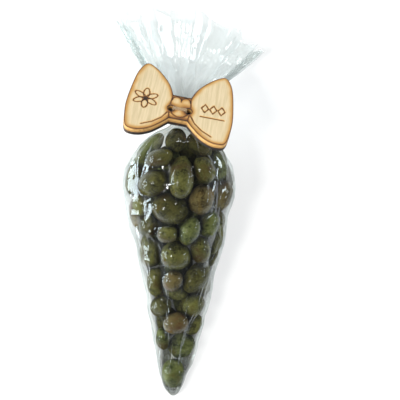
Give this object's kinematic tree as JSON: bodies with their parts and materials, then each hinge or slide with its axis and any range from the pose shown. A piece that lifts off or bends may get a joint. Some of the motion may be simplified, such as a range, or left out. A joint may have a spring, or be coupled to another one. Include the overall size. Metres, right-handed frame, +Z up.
{
  "type": "clear cone bag of coated nuts",
  "caption": "Clear film cone bag lying on its back, packed with powder-coated nuts, its neck tied through a laser-cut plywood bow, with the spare film fanned out above as a pleated ruffle",
  "frame": {"origin": "middle of the footprint, on the surface that the bag lies on", "axes": "+X to the right as seen from the bow's side, +Y along the bag from its tip to its ruffle, +Z up from the table"},
  "size_m": [0.1064, 0.2604, 0.0683],
  "materials": {
    "film": "clear glossy cellophane film, creased",
    "plywood": "pale birch ply, laser-scorched edges",
    "tie": "clear flat band",
    "nut_coat": "dusty olive-green powder coat, mottled brown"
  },
  "bodies": {
    "root": {"cone_bag": "film", "bow_tag": "plywood", "twist_tie": "tie", "nut_01": "nut_coat", "nut_02": "nut_coat", "nut_03": "nut_coat", "nut_04": "nut_coat", "nut_05": "nut_coat", "nut_06": "nut_coat", "nut_07": "nut_coat", "nut_08": "nut_coat", "nut_09": "nut_coat", "nut_10": "nut_coat", "nut_11": "nut_coat", "nut_12": "nut_coat", "nut_13": "nut_coat", "nut_14": "nut_coat", "nut_15": "nut_coat", "nut_16": "nut_coat", "nut_17": "nut_coat", "nut_18": "nut_coat", "nut_19": "nut_coat", "nut_20": "nut_coat", "nut_21": "nut_coat", "nut_22": "nut_coat", "nut_23": "nut_coat", "nut_24": "nut_coat", "nut_25": "nut_coat", "nut_26": "nut_coat", "nut_27": "nut_coat", "nut_28": "nut_coat", "nut_29": "nut_coat", "nut_30": "nut_coat", "nut_31": "nut_coat", "nut_32": "nut_coat", "nut_33": "nut_coat", "nut_34": "nut_coat", "nut_35": "nut_coat", "nut_36": "nut_coat", "nut_37": "nut_coat", "nut_38": "nut_coat", "nut_39": "nut_coat", "nut_40": "nut_coat", "nut_41": "nut_coat", "nut_42": "nut_coat", "nut_43": "nut_coat", "nut_44": "nut_coat", "nut_45": "nut_coat", "nut_46": "nut_coat", "nut_47": "nut_coat", "nut_48": "nut_coat", "nut_49": "nut_coat", "nut_50": "nut_coat", "nut_51": "nut_coat", "nut_52": "nut_coat", "nut_53": "nut_coat", "nut_54": "nut_coat", "nut_55": "nut_coat", "nut_56": "nut_coat", "nut_57": "nut_coat"}
  },
  "joints": []
}
